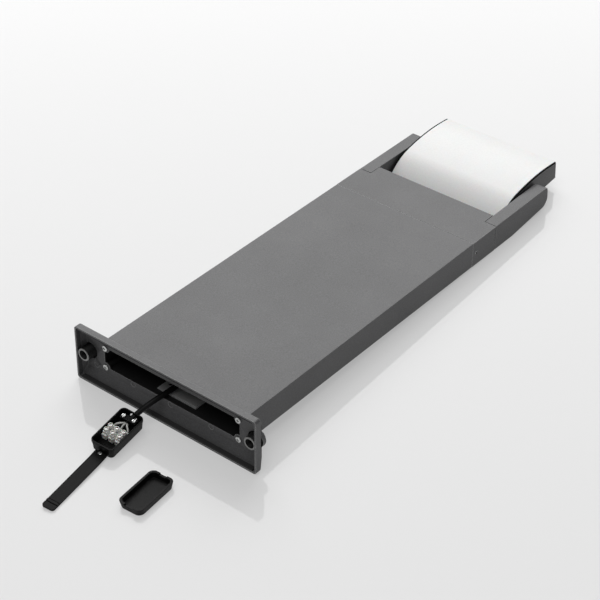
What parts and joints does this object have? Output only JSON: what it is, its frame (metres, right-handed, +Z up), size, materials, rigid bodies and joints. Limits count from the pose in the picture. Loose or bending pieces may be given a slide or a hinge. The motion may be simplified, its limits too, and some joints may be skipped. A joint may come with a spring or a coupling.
{
  "type": "tilting-head path luminaire",
  "caption": "Flat path light lying on its back: cast foot, wide aluminium post, forked collar, tilting head with curved opal diffuser; open supply box, strap and lid.",
  "frame": {"origin": "on the floor, under the middle of the lamp, which lies on its back; the supply cable, its box, strap and lid are not counted", "axes": "+X along the post from the foot to the head, level; +Y across the post to the left as seen from the foot; +Z up, the side the diffuser faces"},
  "size_m": [0.716, 0.227, 0.0622],
  "materials": {
    "powder_coat": "fine textured dark grey powder coat",
    "opal": "satin opal acrylic",
    "gasket_rubber": "soft black silicone",
    "bare_steel": "zinc plated or stainless",
    "bare_aluminium": "mill finish",
    "plate_label": "blank matt film",
    "fibre": "pressed fibre",
    "driver_case": "white moulded case",
    "led_yellow": "phosphor",
    "black_plastic": "black moulded plastic",
    "white_plastic": "white polyamide",
    "cable_jacket": "black round cable"
  },
  "bodies": {
    "post": {"base_casting": "powder_coat", "post_extrusion": "powder_coat", "collar": "powder_coat", "arm_left": "powder_coat", "arm_right": "powder_coat", "base_seal": "gasket_rubber", "head_grommet": "gasket_rubber", "base_screws": "bare_steel", "collar_set_screws": "bare_steel", "arm_screws": "bare_steel", "pivot_pin_left": "bare_steel", "pivot_pin_right": "bare_steel", "driver_screws": "bare_steel", "cable_clamp_screws": "bare_steel", "terminal_screws": "bare_steel", "strain_relief_screws": "bare_steel", "strap_screw": "bare_steel", "joiner_block": "bare_aluminium", "carrier_tray": "bare_aluminium", "rating_plate": "plate_label", "friction_washer_left": "fibre", "friction_washer_right": "fibre", "led_driver": "driver_case", "driver_lugs": "driver_case", "cable_clamp": "black_plastic", "junction_box": "black_plastic", "pull_strap": "black_plastic", "strain_relief_bar": "black_plastic", "terminal_block": "white_plastic", "supply_cable": "cable_jacket", "head_lead": "cable_jacket", "core_wires": "cable_jacket"},
    "head": {"cheek_left": "powder_coat", "cheek_right": "powder_coat", "head_housing": "powder_coat", "cheek_screws": "bare_steel", "led_board": "bare_aluminium", "leds": "led_yellow", "diffuser": "opal", "diffuser_gaskets": "gasket_rubber"},
    "left_sleeve": {"levelling_sleeve_left": "bare_steel"},
    "right_sleeve": {"levelling_sleeve_right": "bare_steel"},
    "lid": {"junction_box_lid": "black_plastic"}
  },
  "joints": [
    {"name": "head_tilt", "type": "hinge", "parent": "post", "child": "head", "pos_m": [0.222, 0, 0.0142], "axis": [0, -1, 0], "range_deg": [-5.6, 84.4]},
    {"name": "levelling_sleeve_left_screw", "type": "slide", "parent": "post", "child": "left_sleeve", "axis": [-0.9993, 0, 0.0366], "range_m": [-0.0012, 0.006]},
    {"name": "levelling_sleeve_right_screw", "type": "slide", "parent": "post", "child": "right_sleeve", "axis": [-0.9993, 0, 0.0366], "range_m": [0, 0.008]},
    {"name": "junction_box_lid_lift", "type": "slide", "parent": "post", "child": "lid", "axis": [0, 0, 1], "range_m": [0, 0.04]}
  ]
}
